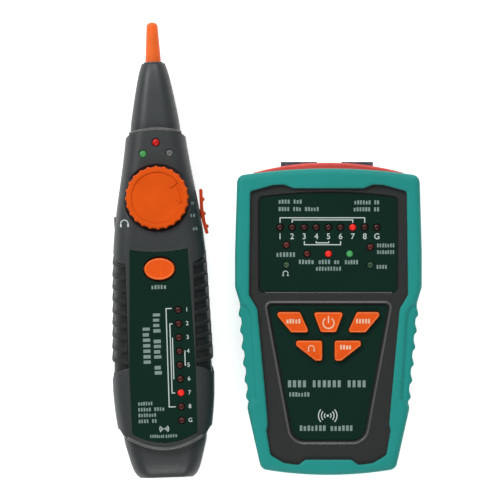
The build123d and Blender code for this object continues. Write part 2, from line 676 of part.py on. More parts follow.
def probe_shell(low, high, inside):
    """One half of the body, hollow round the parts inside, and opened for nose, tail, grips, switch and jack."""
    with BuildPart() as shell:
        with BuildSketch(Plane.XY.offset(low)):
            Rectangle(60, 200)
        extrude(amount=high - low)
        with BuildPart(mode=Mode.PRIVATE) as cavity:
            add(loft_form(BODY_SECTIONS, WALL))
            with BuildSketch(Plane.XY.offset(-1)):
                with Locations((0, (NOSE_FOOT + TAIL_FOOT) / 2)):
                    Rectangle(60, NOSE_FOOT - TAIL_FOOT)
            extrude(amount=40, mode=Mode.INTERSECT)
        add(cavity.part, mode=Mode.SUBTRACT)
        add(inside)
        add(body_form(), mode=Mode.INTERSECT)
        add(loft_form(NOSE_SECTIONS, -0.05), mode=Mode.SUBTRACT)
        add(loft_form(TAIL_SECTIONS, -0.05), mode=Mode.SUBTRACT)
        add(grip_recess(), mode=Mode.SUBTRACT)
        add(slider_box(-6, 2, STEM_HALF + SLIDER_TRAVEL + 0.4, 1.8), mode=Mode.SUBTRACT)
        with BuildSketch(Plane.YZ.offset(-10)):
            with Locations((JACK_Y, JACK_Z)):
                Circle(3.15)
        extrude(amount=-15, mode=Mode.SUBTRACT)
    return shell


def discs(places, radius, low, high):
    """Upright cylinders, all of one radius."""
    with BuildPart(mode=Mode.PRIVATE) as group:
        with BuildSketch(Plane.XY.offset(low)):
            with Locations(*places):
                Circle(radius)
        extrude(amount=high - low)
    return group.part


def probe_front_shell():
    """Front half: dished seat for the knob, rings and holes for button and lamps, recess for the label."""
    posts = mirrored(PROBE_POSTS)
    with BuildPart(mode=Mode.PRIVATE) as inside:
        add(discs([(0, KNOB_Y)], KNOB_RADIUS + 2.0, 25.0, 29.0))
        add(discs(posts, 3.4, PROBE_PARTING, 28.0))
        add(discs(posts, SCREW_RADIUS + 0.05, PROBE_PARTING, 23.0), mode=Mode.SUBTRACT)
    with BuildPart() as shell:
        add(probe_shell(PROBE_PARTING, 40, inside.part).part)
        add(discs([(0, KNOB_Y)], KNOB_RADIUS + 0.8, KNOB_LOW - 0.3, 40), mode=Mode.SUBTRACT)
        add(slab(label_face, PROBE_FACE - LABEL_DEPTH, 40), mode=Mode.SUBTRACT)
        with BuildSketch(Plane.XY.offset(PROBE_FACE - 1.2)):
            with Locations((0, BUTTON_Y)):
                Ellipse(BUTTON_AXES[0] + 0.6, BUTTON_AXES[1] + 0.8)
        extrude(amount=3, mode=Mode.SUBTRACT)
        with BuildSketch(Plane.XY.offset(PROBE_BOARD + 3)):
            with Locations((0, BUTTON_Y)):
                Ellipse(BUTTON_AXES[0] + GAP, BUTTON_AXES[1] + GAP)
            with Locations((0, KNOB_Y)):
                Circle(SHAFT_RADIUS + 0.3)
            with Locations(*(probe_leds + list(NOSE_LEDS.values()))):
                Circle(LED_HOLE)
        extrude(amount=12, mode=Mode.SUBTRACT)
    return shell


def probe_rear_shell():
    """Rear half: flat where it lies, with the speaker's grille, the battery opening and the screw posts."""
    posts = mirrored(PROBE_POSTS)
    with BuildPart(mode=Mode.PRIVATE) as inside:
        add(discs([(0, SPEAKER_Y)], SPEAKER_RADIUS + 1.2, 0, SPEAKER_LOW))
        add(discs(posts, 4.2, 0, PROBE_PARTING))
    with BuildPart() as shell:
        add(probe_shell(0, PROBE_PARTING, inside.part).part)
        add(discs(posts, SCREW_HEAD + 0.3, -1, 5.0), mode=Mode.SUBTRACT)
        add(discs(posts, SCREW_RADIUS + 0.2, -1, PROBE_PARTING + 1), mode=Mode.SUBTRACT)
        with BuildSketch(Plane.XY.offset(-1)):
            with Locations((0, PROBE_DOOR_Y)):
                RectangleRounded(2 * (DOOR_HALF + GAP), DOOR_LENGTH + 2 * GAP, 0.2)
            with Locations((0, SPEAKER_Y)):
                with HexLocations(1.9, 3, 3):
                    Circle(0.9)
        extrude(amount=6, mode=Mode.SUBTRACT)
    return shell


def probe_nose():
    """Hollow cone between the body and the tip."""
    with BuildPart() as nose:
        add(loft_form(NOSE_SECTIONS))
        add(loft_form(NOSE_SECTIONS[1:], 1.8), mode=Mode.SUBTRACT)
        with BuildSketch(Plane.XZ.offset(-TIP_FOOT + 2)):
            with Locations((0, PROBE_AXIS_Z)):
                Circle(TIP_RADII[0] + 0.05)
        extrude(amount=-10, mode=Mode.SUBTRACT)
    return nose


def probe_tip():
    """Tapered insulated tip, bored for the end of the antenna."""
    wide, narrow = TIP_RADII
    with BuildPart() as tip:
        with BuildSketch(Plane.XY.offset(PROBE_AXIS_Z)):
            with BuildLine():
                Polyline((1.35, TIP_FOOT), (wide, TIP_FOOT), (wide, NOSE_MOUTH), (narrow, TIP_TOP), (0, TIP_TOP),
                         (0, TIP_FOOT + 17), (1.35, TIP_FOOT + 17), close=True)
            make_face()
        revolve(axis=Axis((0, 0, PROBE_AXIS_Z), (0, 1, 0)))
        fillet(tip.edges().group_by(Axis.Y)[-1], narrow * 0.85)
    return tip


def probe_tail_cap():
    """Hollow plug that closes the lower end, held between the two shells."""
    with BuildPart() as cap:
        add(loft_form(TAIL_SECTIONS))
        fillet(cap.faces().sort_by(Axis.Y)[0].edges(), 1.0)
        add(loft_form(TAIL_SECTIONS[:-1], 2.0), mode=Mode.SUBTRACT)
    return cap


def volume_knob():
    """Thin toothed wheel with a shallow dished top and a pointer ridge."""
    with BuildPart() as knob:
        with BuildSketch(Plane.XY.offset(KNOB_LOW)):
            with Locations((0, KNOB_Y)):
                Circle(KNOB_RADIUS - KNOB_TOOTH)
                with PolarLocations(KNOB_RADIUS - 0.95, KNOB_TEETH):
                    Circle(1.0)
        extrude(amount=KNOB_TOP - KNOB_LOW)
        chamfer(knob.faces().sort_by(Axis.Z)[-1].edges(), 0.5)
        with BuildSketch(Plane.XY.offset(KNOB_TOP)):
            with Locations((0, KNOB_Y)):
                Circle(KNOB_RADIUS - 2.4)
        extrude(amount=-0.5, mode=Mode.SUBTRACT)
        with BuildSketch(Plane.XY.offset(KNOB_TOP - 0.5)):
            with Locations((0, KNOB_Y)):
                with PolarLocations(KNOB_RADIUS - 4.6, 1, start_angle=38):
                    Rectangle(3.4, 1.1)
        extrude(amount=0.5)
        with BuildSketch(Plane.XY.offset(KNOB_LOW)):
            with Locations((0, KNOB_Y)):
                Circle(SHAFT_RADIUS + 0.02)
        extrude(amount=3.6, mode=Mode.SUBTRACT)
    return knob


def volume_shaft(board_top):
    with BuildPart() as shaft:
        with BuildSketch(Plane.XY.offset(board_top + 1.3)):
            with Locations((0, KNOB_Y)):
                Circle(SHAFT_RADIUS)
        extrude(amount=KNOB_LOW + 3.5 - board_top - 1.3)
    return shaft


def volume_control(board_top):
    """Flat rotary control on the board, open at the top for its shaft."""
    with BuildPart() as control:
        with BuildSketch(Plane.XY.offset(board_top)):
            with Locations((0, KNOB_Y)):
                RectangleRounded(13, 13, 2)
        extrude(amount=2.3)
        with BuildSketch(Plane.XY.offset(board_top + 2.3)):
            with Locations((0, KNOB_Y)):
                Circle(SHAFT_RADIUS + 0.2)
        extrude(amount=-1.0, mode=Mode.SUBTRACT)
    return control


def probe_button():
    """Oval key with a domed edge, a flange under the shell, and a stem into its switch."""
    stop = PROBE_FACE - WALL - 0.05
    with BuildPart() as button:
        with BuildSketch(Plane.XY.offset(stop)):
            with Locations((0, BUTTON_Y)):
                Ellipse(*BUTTON_AXES)
        extrude(amount=PROBE_FACE + 1.0 - stop)
        fillet(button.edges().group_by(Axis.Z)[-1], 0.7)
        with BuildSketch(Plane.XY.offset(stop)):
            with Locations((0, BUTTON_Y)):
                Ellipse(BUTTON_AXES[0] + 0.9, BUTTON_AXES[1] + 0.9)
        extrude(amount=-0.9)
        with BuildSketch(Plane.XY.offset(stop - 0.9)):
            with Locations((0, BUTTON_Y)):
                Circle(PLUNGER)
        extrude(amount=-(stop - 0.9 - PROBE_BOARD - BOARD - SWITCH_HEIGHT + 0.3))
    return button


def mode_slider():
    """Curved thumb plate that stands off the flank, three finger ribs, and a stem through the slot."""
    with BuildPart() as slider:
        with BuildSketch(Plane.XY.offset(SLIDER_Z - 4)):
            add(polygon(SLIDER_PLATE, 0.6))
            with Locations(*SLIDER_RIBS):
                Circle(0.8)
        extrude(amount=8)
        add(slider_box(-6.0, 0.6, STEM_HALF, 1.4))
    return slider


def mode_switch():
    """Slide switch hanging from the board, with the channel its stem runs in."""
    with BuildPart() as switch:
        add(slider_box(-9.5, -4.0, 8.2, PROBE_BOARD - SLIDER_Z))
        add(slider_box(-6.8, -3.0, STEM_HALF + SLIDER_TRAVEL + 0.4, 1.8), mode=Mode.SUBTRACT)
    return switch


def probe_circuit_board():
    with BuildPart() as board:
        with BuildSketch(Plane.XY.offset(PROBE_BOARD)):
            Polygon(*(BOARD_SIDE + flip(BOARD_SIDE)), align=None)
            with Locations(*mirrored(PROBE_POSTS)):
                Circle(3.7, mode=Mode.SUBTRACT)
        extrude(amount=BOARD)
    return board


def label_panel():
    with BuildPart() as plate:
        with BuildSketch(Plane.XY.offset(PROBE_FACE - LABEL_DEPTH)):
            add(grown(label_face, -0.05))
            with Locations((0, BUTTON_Y)):
                Ellipse(BUTTON_AXES[0] + 0.6, BUTTON_AXES[1] + 0.8, mode=Mode.SUBTRACT)
            with Locations(*probe_leds):
                Circle(LED_HOLE, mode=Mode.SUBTRACT)
        extrude(amount=LABEL_DEPTH - 0.05)
    return plate


def antenna_rod():
    with BuildPart() as rod:
        with BuildSketch(Plane.XZ.offset(-54)):
            with Locations((0, PROBE_AXIS_Z)):
                Circle(1.3)
        extrude(amount=-36.5)
    return rod


def antenna_coil():
    """Winding on the rod between two flanges, and the carrier that stands on the nose's floor."""
    with BuildPart() as coil:
        with BuildSketch(Plane.XY.offset(PROBE_AXIS_Z)):
            Polygon((1.35, 55), (4.4, 55), (4.4, 56.2), (3.4, 56.2), (3.4, 66.8), (4.4, 66.8), (4.4, 68), (1.35, 68),
                    align=None)
        revolve(axis=Axis((0, 0, PROBE_AXIS_Z), (0, 1, 0)))
    return coil


def speaker():
    with BuildPart() as disc:
        with BuildSketch(Plane.XY.offset(SPEAKER_LOW)):
            with Locations((0, SPEAKER_Y)):
                Circle(SPEAKER_RADIUS)
        extrude(amount=2.4)
        with BuildSketch(Plane.XY.offset(SPEAKER_LOW + 2.4)):
            with Locations((0, SPEAKER_Y)):
                Circle(5.5)
        extrude(amount=1.8)
    return disc


def headphone_jack():
    """3.5 mm socket under the board, its nozzle through the left flank."""
    with BuildPart() as jack:
        with Locations((-10.5, JACK_Y, (13.0 + PROBE_BOARD) / 2)):
            Box(9.0, 6.4, PROBE_BOARD - 13.0)
        with BuildSketch(Plane.YZ.offset(-15.0)):
            with Locations((JACK_Y, JACK_Z)):
                Circle(3.0)
        extrude(amount=-3.6)
        with BuildSketch(Plane.YZ.offset(-20.0)):
            with Locations((JACK_Y, JACK_Z)):
                Circle(JACK_BORE)
        extrude(amount=13.0, mode=Mode.SUBTRACT)
    return jack


def build_probe():
    board_top = PROBE_BOARD + BOARD
    lens_top = PROBE_FACE + 0.2
    battery_low = DOOR_THICKNESS + 0.3
    pieces = {
        "probe_front_shell": probe_front_shell(),
        "probe_rear_shell": probe_rear_shell(),
        "probe_nose": probe_nose(),
        "probe_tip": probe_tip(),
        "probe_tail_cap": probe_tail_cap(),
        "probe_left_grip": probe_grip(-1),
        "probe_right_grip": probe_grip(1),
        "probe_label_panel": label_panel(),
        "volume_knob": volume_knob(),
        "volume_shaft": volume_shaft(board_top),
        "volume_control": volume_control(board_top),
        "probe_scan_button": probe_button(),
        "probe_scan_switch": switches([(0, BUTTON_Y)], board_top),
        "mode_slider": mode_slider(),
        "mode_switch": mode_switch(),
        "probe_circuit_board": probe_circuit_board(),
        "probe_wire_leds": leds(probe_leds, board_top, lens_top),
        "antenna_rod": antenna_rod(),
        "antenna_coil": antenna_coil(),
        "speaker": speaker(),
        "headphone_jack": headphone_jack(),
        "probe_battery": battery(PROBE_BATTERY_Y, battery_low),
        "probe_battery_snap": battery_snap(PROBE_BATTERY_Y, battery_low),
        "probe_battery_leads": battery_leads(PROBE_BATTERY_Y, battery_low, PROBE_BOARD),
        "probe_battery_door": battery_door(PROBE_DOOR_Y, 0.0),
        "probe_case_screws": case_screws(mirrored(PROBE_POSTS), 3.0, 17.0),
    }
    for name, place in NOSE_LEDS.items():
        pieces[name] = leds([place], board_top, NOSE_LED_TOP)
    for label, piece in pieces.items():
        save(piece, label, PROBE)


probe_leds = [(PROBE_LED_X, PROBE_LED_FIRST - k * PROBE_LED_PITCH) for k in range(9)]
with BuildSketch() as label:
    with BuildLine():
        Polyline(*LABEL_SIDE)
        ThreePointArc(LABEL_SIDE[-1], (0, LABEL_FOOT), flip(LABEL_SIDE)[0])
        Polyline(*flip(LABEL_SIDE))
        ThreePointArc(flip(LABEL_SIDE)[-1], (0, LABEL_DIP), LABEL_SIDE[0])
    make_face()
label_face = label.sketch

build_transmitter()
build_probe()
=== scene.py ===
import math
import random

import bmesh
import bpy
from mathutils import Matrix, Vector
from mathutils.bvhtree import BVHTree


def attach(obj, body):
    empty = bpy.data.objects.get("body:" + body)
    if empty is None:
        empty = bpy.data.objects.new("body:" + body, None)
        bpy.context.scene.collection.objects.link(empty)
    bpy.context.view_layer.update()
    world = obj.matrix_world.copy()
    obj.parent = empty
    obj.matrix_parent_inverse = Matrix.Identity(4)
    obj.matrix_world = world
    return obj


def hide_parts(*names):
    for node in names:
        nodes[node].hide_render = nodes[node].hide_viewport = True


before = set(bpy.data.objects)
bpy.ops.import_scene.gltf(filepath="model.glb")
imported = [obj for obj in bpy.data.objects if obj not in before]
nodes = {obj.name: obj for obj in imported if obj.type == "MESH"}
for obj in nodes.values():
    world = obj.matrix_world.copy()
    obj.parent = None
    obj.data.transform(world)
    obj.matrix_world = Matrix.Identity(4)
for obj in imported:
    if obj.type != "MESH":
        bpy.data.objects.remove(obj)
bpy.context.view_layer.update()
MM = 0.001
ABOVE = 0.06  # metres: rays that look for a surface start up here

# The two devices' own frames on the table, as the CAD places them.
TRANSMITTER = Matrix.Translation((0.0259, -0.03008, 0))
PROBE = Matrix.Translation((-0.04528, 0.00022, 0)) @ Matrix.Rotation(math.radians(1.9), 4, "Z")


# ---------------------------------------------------------------- materials
def linear(rgb):
    """An sRGB colour from 0 to 255 as linear RGBA."""
    out = []
    for c in rgb:
        c /= 255
        out.append(c / 12.92 if c <= 0.04045 else ((c + 0.055) / 1.055) ** 2.4)
    return (*out, 1.0)


def scaled(rgba, k):
    """A colour made darker or lighter by the factor k."""
    return (*[min(1.0, c * k) for c in rgba[:3]], 1.0)


class Nodes:
    """A material's node tree with short calls."""

    def __init__(self, name):
        self.material = bpy.data.materials.new(name)
        self.material.use_nodes = True
        self.tree = self.material.node_tree
        self.shader = self.tree.nodes["Principled BSDF"]
        self.place = self.add("ShaderNodeTexCoord").outputs["Object"]

    def add(self, kind, **values):
        node = self.tree.nodes.new(kind)
        for key, value in values.items():
            if hasattr(node, key):
                setattr(node, key, value)
            else:
                node.inputs[key].default_value = value
        return node

    def link(self, a, b):
        self.tree.links.new(a, b)

    def noise(self, scale, detail=3.0, rough=0.55):
        node = self.add("ShaderNodeTexNoise", Scale=scale, Detail=detail, Roughness=rough)
        self.link(self.place, node.inputs["Vector"])
        return node.outputs["Fac"]

    def remap(self, value, low, high, to_low, to_high):
        node = self.add("ShaderNodeMapRange")
        for key, number in zip(("From Min", "From Max", "To Min", "To Max"), (low, high, to_low, to_high)):
            node.inputs[key].default_value = number
        self.link(value, node.inputs["Value"])
        return node.outputs["Result"]

    def mix(self, factor, a, b):
        node = self.add("ShaderNodeMix", data_type="RGBA")
        self.link(factor, node.inputs[0])
        for socket, colour in ((node.inputs[6], a), (node.inputs[7], b)):
            if isinstance(colour, tuple):
                socket.default_value = colour
            else:
                self.link(colour, socket)
        return node.outputs[2]


SOFT_GLOSS = 0.24  # specular level of the dull plastics and rubbers
LENS_ROUGHNESS = 0.24


def moulded(name, rgb, rough, vary, grain, depth, patch, edge, edge_highlight=0.0, **sockets):
    """Moulded plastic or rubber: mottled colour, uneven gloss, fine moulding grain, softened edges and,
    where asked, raised edges painted pale as a highlight.

    vary is how far the colour strays, grain and patch are the scales of the fine grain and of the broad
    mottling, depth is the grain's height and edge the radius that edges are softened by, in millimetres.
    The argument after edge is how far raised edges are painted pale, a painted highlight.
    """
    n = Nodes(name)
    base = linear(rgb)
    broad = n.noise(patch, 4.0)
    fine = n.noise(grain, 2.0)
    spots = n.noise(grain * 0.28, 5.0, 0.7)
    tone = n.mix(n.remap(broad, 0.3, 0.7, 0, 1), scaled(base, 1 - vary), scaled(base, 1 + vary))
    tone = n.mix(n.remap(spots, 0.58, 0.8, 0, 0.5), tone, scaled(base, 1 + 3 * vary))
    # Painted highlight: edges that stand out by pointiness are lightened.
    if edge_highlight:
        highlit_edges = n.remap(n.add("ShaderNodeNewGeometry").outputs["Pointiness"], 0.515, 0.56, 0, edge_highlight)
        tone = n.mix(highlit_edges, tone, scaled(base, 1.9))
    n.link(tone, n.shader.inputs["Base Color"])
    n.link(n.remap(spots, 0.3, 0.75, rough - 0.07, rough + 0.07), n.shader.inputs["Roughness"])
    bump = n.add("ShaderNodeBump", Strength=0.6, Distance=depth * MM)
    n.link(fine, bump.inputs["Height"])
    if edge:
        soft = n.add("ShaderNodeBevel", samples=4)
        soft.inputs["Radius"].default_value = edge * MM
        n.link(soft.outputs["Normal"], bump.inputs["Normal"])
    n.link(bump.outputs["Normal"], n.shader.inputs["Normal"])
    n.shader.inputs["Specular IOR Level"].default_value = SOFT_GLOSS
    for key, value in sockets.items():
        n.shader.inputs[key.replace("_", " ")].default_value = value
    return n.material


def metal(name, rgb, rough=0.3, brush=(900.0, 40.0, 900.0)):
    """Drawn or plated metal: brushed streaks in colour, gloss and height."""
    n = Nodes(name)
    base = linear(rgb)
    stretch = n.add("ShaderNodeMapping")
    stretch.inputs["Scale"].default_value = brush
    n.link(n.place, stretch.inputs["Vector"])
    streaks = n.add("ShaderNodeTexNoise", Scale=1.0, Detail=4.0)
    n.link(stretch.outputs["Vector"], streaks.inputs["Vector"])
    value = streaks.outputs["Fac"]
    n.link(n.mix(value, scaled(base, 0.8), scaled(base, 1.1)), n.shader.inputs["Base Color"])
    n.link(n.remap(value, 0.3, 0.7, rough - 0.08, rough + 0.12), n.shader.inputs["Roughness"])
    bump = n.add("ShaderNodeBump", Strength=0.3, Distance=0.01 * MM)
    n.link(value, bump.inputs["Height"])
    n.link(bump.outputs["Normal"], n.shader.inputs["Normal"])
    n.shader.inputs["Metallic"].default_value = 1.0
    return n.material


def lens(name, dark, lit, lit_at=(), reach=2.4, strength=0.2):
    """Tinted epoxy lamps. Those whose middle is near a lit place shine; the others stay dull."""
    n = Nodes(name)
    off = linear(dark)
    on = linear(lit)
    depth = n.noise(700.0, 2.0)
    tone = n.mix(n.remap(depth, 0.35, 0.7, 0, 1), scaled(off, 0.7), scaled(off, 1.35))
    mask = None
    for place in lit_at:
        apart = n.add("ShaderNodeVectorMath", operation="DISTANCE")
        n.link(n.place, apart.inputs[0])
        apart.inputs[1].default_value = place
        near = n.remap(apart.outputs["Value"], reach * 0.55 * MM, reach * MM, 1, 0)
        if mask is None:
            mask = near
        else:
            both = n.add("ShaderNodeMath", operation="MAXIMUM")
            n.link(mask, both.inputs[0])
            n.link(near, both.inputs[1])
            mask = both.outputs["Value"]
    if mask is not None:
        tone = n.mix(mask, tone, on)
        n.link(n.mix(mask, (0, 0, 0, 1), on), n.shader.inputs["Emission Color"])
        n.shader.inputs["Emission Strength"].default_value = strength
    n.link(tone, n.shader.inputs["Base Color"])
    n.shader.inputs["Roughness"].default_value = LENS_ROUGHNESS
    n.shader.inputs["Specular IOR Level"].default_value = 0.3
    return n.material


def in_frame(place, x, y, z):
    """A point given in a device's own millimetres, as metres in the shared frame."""
    return tuple(place @ Vector((x * MM, y * MM, z * MM)))


PITCH = 5.08  # of the transmitter's wire lamps
LAMP_Y = [-25.6 - 5.8 * k for k in range(9)]  # the probe's wire lamps, from the first down
WIRE_NAMES = "12345678G"
LIT_RED = (235, 45, 38)
boot_rubber = moulded(
    "boot_rubber", (22, 142, 134), 0.58, 0.07, 1500.0, 0.03, 28.0, 0, Sheen_Weight=0.12
)
# The last number paints the grips' raised ribs pale, a painted highlight.
grip_rubber = moulded(
    "grip_rubber", (27, 30, 30), 0.55, 0.12, 1400.0, 0.035, 60.0, 0, 0.8, Sheen_Weight=0.1
)
case_plastic = moulded(
    "case_plastic", (40, 42, 41), 0.46, 0.06, 1300.0, 0.01, 30.0, 0.6, Specular_IOR_Level=0.32
)
probe_plastic = moulded(
    "probe_plastic", (50, 54, 55), 0.43, 0.06, 1300.0, 0.008, 26.0, 1.0, Specular_IOR_Level=0.42
)
# Lighter plastic for thin rims along edges: a painted highlight.
highlight_rim_plastic = moulded(
    "highlight_rim_plastic", (82, 83, 82), 0.3, 0.06, 1300.0, 0.006, 60.0, 0, Specular_IOR_Level=0.5
)
overlay_film = moulded(
    "overlay_film", (9, 40, 31), 0.5, 0.08, 2600.0, 0.008, 20.0, 0.1, Specular_IOR_Level=0.1
)
panel_red = moulded("panel_plastic", (224, 84, 76), 0.38, 0.07, 1100.0, 0.012, 40.0, 0.3)
# The last number paints the keys' raised edges pale, a painted highlight.
key_rubber = moulded(
    "key_silicone", (232, 86, 14), 0.42, 0.07, 1700.0, 0.02, 120.0, 0.6, 0.3, Specular_IOR_Level=0.2
)
# Lighter orange for the keys' edges: a painted highlight.
key_edge = moulded(
    "key_edge", (244, 116, 48), 0.36, 0.07, 1700.0, 0.01, 120.0, 0, Specular_IOR_Level=0.4
)
knob_plastic = moulded(
    "knob_plastic", (222, 84, 8), 0.5, 0.07, 1500.0, 0.02, 60.0, 0.25, Specular_IOR_Level=0.14
)
tip_plastic = moulded(
    "tip_plastic", (240, 104, 40), 0.36, 0.06, 900.0, 0.012, 90.0, 0.2, Subsurface_Weight=0.1
)
slider_plastic = moulded("slider_plastic", (206, 66, 22), 0.45, 0.08, 1500.0, 0.02, 120.0, 0.2)
board_green = moulded("board_laminate", (34, 92, 52), 0.35, 0.15, 1100.0, 0.02, 300.0, 0.1)
black_nylon = moulded("switch_black", (24, 24, 25), 0.5, 0.2, 1500.0, 0.015, 80.0, 0.15)
jack_black = moulded("jack_plastic", (26, 26, 28), 0.45, 0.2, 1500.0, 0.015, 80.0, 0.15)
battery_can = moulded("battery_case", (32, 32, 36), 0.3, 0.15, 700.0, 0.01, 50.0, 0.3)
vinyl = moulded("snap_vinyl", (20, 20, 20), 0.4, 0.2, 900.0, 0.02, 90.0, 0.2)
lead_red = moulded("lead_vinyl", (150, 30, 26), 0.35, 0.1, 900.0, 0.01, 200.0, 0)
ferrite = moulded("ferrite", (38, 36, 36), 0.6, 0.2, 1600.0, 0.03, 300.0, 0)
ink = moulded("print_ink", (196, 208, 206), 0.5, 0.07, 2000.0, 0.008, 300.0, 0)
dim_ink = moulded("dim_ink", (128, 148, 142), 0.5, 0.1, 2000.0, 0.008, 300.0, 0)
key_ink = moulded("key_ink", (236, 196, 166), 0.5, 0.1, 2000.0, 0.008, 300.0, 0)
steel = metal("shield_steel", (112, 120, 132), 0.35)
screw_steel = metal("screw_steel", (170, 170, 168), 0.34, (1200.0, 1200.0, 60.0))
gold = metal("contact_gold", (222, 184, 96), 0.25)
copper = metal("coil_copper", (196, 116, 66), 0.3, (60.0, 2400.0, 60.0))
shaft_metal = metal("shaft_metal", (200, 200, 202), 0.25)
basket = metal("speaker_body", (92, 92, 96), 0.4)
red_wire = lens("wire_lens", (60, 30, 27), LIT_RED, [in_frame(TRANSMITTER, 2 * PITCH, 39.6, 30.0)])
red_status = lens(
    "status_red_lens", (86, 36, 30), (238, 44, 36), [in_frame(TRANSMITTER, 0, 28.5, 30.0)]
)
green_status = lens(
    "status_green_lens", (58, 84, 62), (66, 150, 86), [in_frame(TRANSMITTER, 8.9, 28.5, 30.0)], strength=0.3
)
probe_wire = lens(
    "probe_wire_lens", (70, 34, 30), LIT_RED, [in_frame(PROBE, 7.3, LAMP_Y[6], 29.4)]
)
signal_lens = lens("signal_lens", (90, 24, 20), (176, 24, 18), [in_frame(PROBE, 0.2, 45.0, 27.6)])
power_lens = lens(
    "probe_power_lens", (36, 92, 50), (66, 140, 78), [in_frame(PROBE, -5.3, 40.3, 27.6)], strength=0.2
)
lamp_lens = lens("work_lamp_lens", (104, 106, 104), (230, 232, 228))

FINISHES = {
    case_plastic: ["transmitter_front_cover", "transmitter_rear_cover", "transmitter_battery_door"],
    probe_plastic: [
        "probe_front_shell", "probe_rear_shell", "probe_nose", "probe_tail_cap", "probe_battery_door",
    ],
    overlay_film: ["transmitter_display_overlay", "transmitter_keypad_overlay", "probe_label_panel"],
    panel_red: ["transmitter_connector_panel"],
    key_rubber: ["scan_key", "power_key", "test_key", "ohm_key", "polarity_key", "probe_scan_button"],
    knob_plastic: ["volume_knob"],
    tip_plastic: ["probe_tip"],
    slider_plastic: ["mode_slider"],
    board_green: ["transmitter_circuit_board", "probe_circuit_board"],
    black_nylon: ["transmitter_key_switches", "volume_control", "probe_scan_switch", "mode_switch"],
    jack_black: ["rj45_socket_insert", "rj11_socket_insert", "headphone_jack"],
    battery_can: ["transmitter_battery", "probe_battery"],
    vinyl: ["transmitter_battery_snap", "probe_battery_snap"],
    lead_red: ["transmitter_battery_leads", "probe_battery_leads"],
    ferrite: ["antenna_rod"],
    steel: ["rj45_socket_shield", "rj11_socket_shield"],
    screw_steel: ["transmitter_case_screws", "probe_case_screws"],
    gold: ["rj45_socket_contacts", "rj11_socket_contacts"],
    copper: ["antenna_coil"],
    shaft_metal: ["volume_shaft"],
    basket: ["speaker"],
    red_wire: ["transmitter_wire_leds"],
    red_status: ["transmitter_status_red_leds"],
    green_status: ["transmitter_status_green_leds"],
    probe_wire: ["probe_wire_leds"],
    signal_lens: ["signal_led"],
    power_lens: ["probe_power_led"],
    lamp_lens: ["work_lamp"],
}
for material, names in FINISHES.items():
    for name in names:
        slots = nodes[name].data.materials
        slots.clear()
        slots.append(material)


# ---------------------------------------------------------------- soft pieces
WELD = 1e-7  # metres: vertices closer than this are one
KEPT_FACES = 0.38  # share of the voxel mesh's faces that stay


def soft_copy(node, name, body, material, voxel, rounds):
    """The CAD form of a rubber piece with its edges melted soft, in place of its CAD node."""
    mesh = nodes[node].data.copy()
    form = bmesh.new()
    form.from_mesh(mesh)
    bmesh.ops.remove_doubles(form, verts=form.verts, dist=WELD)
    form.to_mesh(mesh)
    form.free()
    rough = bpy.data.objects.new(name + "_form", mesh)
    bpy.context.scene.collection.objects.link(rough)
    remesh = rough.modifiers.new("remesh", "REMESH")
    remesh.mode = "VOXEL"
    remesh.voxel_size = voxel * MM
    smooth = rough.modifiers.new("smooth", "SMOOTH")
    smooth.factor = 0.5
    smooth.iterations = rounds
    lighter = rough.modifiers.new("lighter", "DECIMATE")
    lighter.ratio = KEPT_FACES
    shaped = rough.evaluated_get(bpy.context.evaluated_depsgraph_get())
    final = bpy.data.meshes.new_from_object(shaped)
    bpy.data.objects.remove(rough)
    piece = bpy.data.objects.new(name, final)
    bpy.context.scene.collection.objects.link(piece)
    final.materials.clear()
    final.materials.append(material)
    for face in final.polygons:
        face.use_smooth = True
    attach(piece, body)
    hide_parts(node)


soft_copy("transmitter_rubber_boot", "rubber_boot", "transmitter", boot_rubber, 0.55, 2)
soft_copy("probe_left_grip", "left_grip", "probe", grip_rubber, 0.28, 2)
soft_copy("probe_right_grip", "right_grip", "probe", grip_rubber, 0.28, 2)


# ---------------------------------------------------------------- printing
INK_GAP = 0.03  # millimetres between a surface and the ink over it
MITRE_LIMIT = 0.35  # smallest cosine a sharp corner's mitre is worked out with


